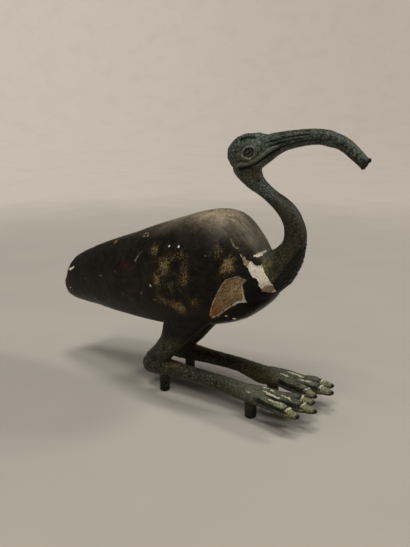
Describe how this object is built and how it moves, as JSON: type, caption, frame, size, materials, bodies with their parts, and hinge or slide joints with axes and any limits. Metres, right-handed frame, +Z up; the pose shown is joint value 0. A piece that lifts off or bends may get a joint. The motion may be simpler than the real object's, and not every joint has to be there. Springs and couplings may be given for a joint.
{
  "type": "ibis figure",
  "caption": "Seated ibis figure with a long dark wooden body, a curved bronze neck and bill, and folded bronze legs on short pegs.",
  "frame": {"origin": "on the surface under the pegs, below the middle of the whole length", "axes": "+X forward to the bill, +Y to the bird's left, +Z up"},
  "size_m": [0.2682, 0.0822, 0.2132],
  "materials": {
    "coated_wood": "dark brown-black varnish over gesso, satin, worn, with losses",
    "head_bronze": "grey-green pitted patina",
    "leg_bronze": "olive-brown patina with pale crust on the toes"
  },
  "bodies": {
    "root": {"body": "coated_wood", "head_and_neck": "head_bronze", "right_leg": "leg_bronze", "left_leg": "leg_bronze"}
  },
  "joints": []
}
